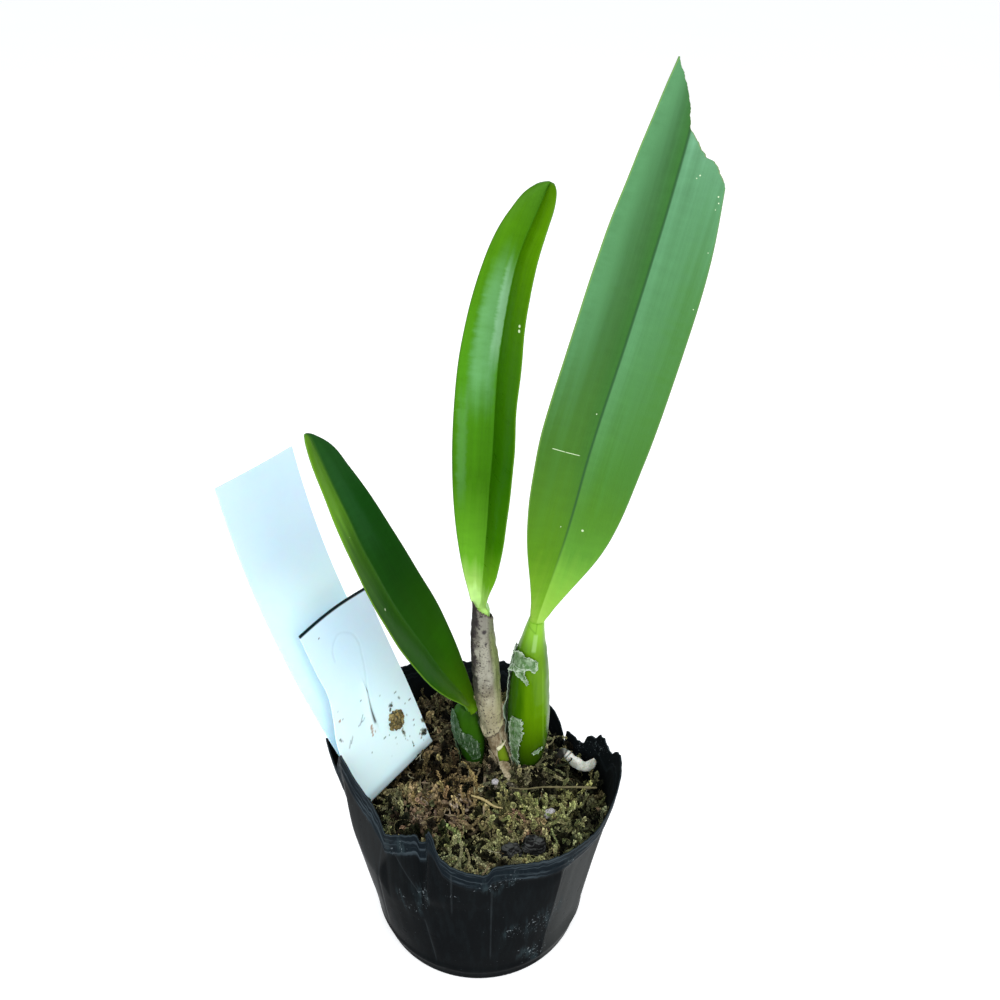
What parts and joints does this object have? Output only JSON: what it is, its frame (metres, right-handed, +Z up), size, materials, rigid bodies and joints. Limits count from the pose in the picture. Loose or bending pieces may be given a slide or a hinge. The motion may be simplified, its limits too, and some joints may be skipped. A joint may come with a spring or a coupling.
{
  "type": "cattleya orchid",
  "caption": "Young cattleya orchid with stiff upright leaves on swollen stems, rooted in moss in a thin torn black film pot with a folded blank label.",
  "frame": {"origin": "centre of the pot's underside, on the floor", "axes": "+Z up along the plant, -Y towards the front, where the upper sides of the leaves show, +X to the right as seen from the front"},
  "size_m": [0.1368, 0.0901, 0.2696],
  "materials": {
    "black_film": "satin",
    "bulb_dark_green": "glossy",
    "bulb_olive": "glossy",
    "bulb_bright_green": "glossy",
    "silver_sheath": "matte",
    "grey_sheath": "matte",
    "brown_bract": "matte",
    "leaf_dark": "satin",
    "leaf_bright": "glossy",
    "leaf_blue_green": "satin",
    "rhizome_brown": "matte",
    "root_velamen": "matte",
    "white_plastic": "satin",
    "soil": "matte",
    "charcoal": "matte",
    "perlite": "matte",
    "twig_wood": "matte",
    "straw_gold": "matte",
    "moss": "matte"
  },
  "bodies": {
    "root": {"film_pot": "black_film", "pseudobulb_left": "bulb_dark_green", "pseudobulb_middle": "bulb_olive", "pseudobulb_right": "bulb_bright_green", "sheath_left": "silver_sheath", "sheath_middle": "grey_sheath", "bract_middle": "brown_bract", "sheath_right": "silver_sheath", "leaf_left": "leaf_dark", "leaf_middle": "leaf_bright", "leaf_right": "leaf_blue_green", "rhizome": "rhizome_brown", "root_left": "root_velamen", "root_front": "root_velamen", "root_front_right": "root_velamen", "root_right": "root_velamen", "root_rear": "root_velamen", "root_white": "root_velamen", "plant_label": "white_plastic", "label_crumb": "soil", "charcoal_left": "charcoal", "charcoal_right": "charcoal", "perlite_grain": "perlite", "twig": "twig_wood", "straw": "straw_gold", "moss_bed": "moss"}
  },
  "joints": []
}
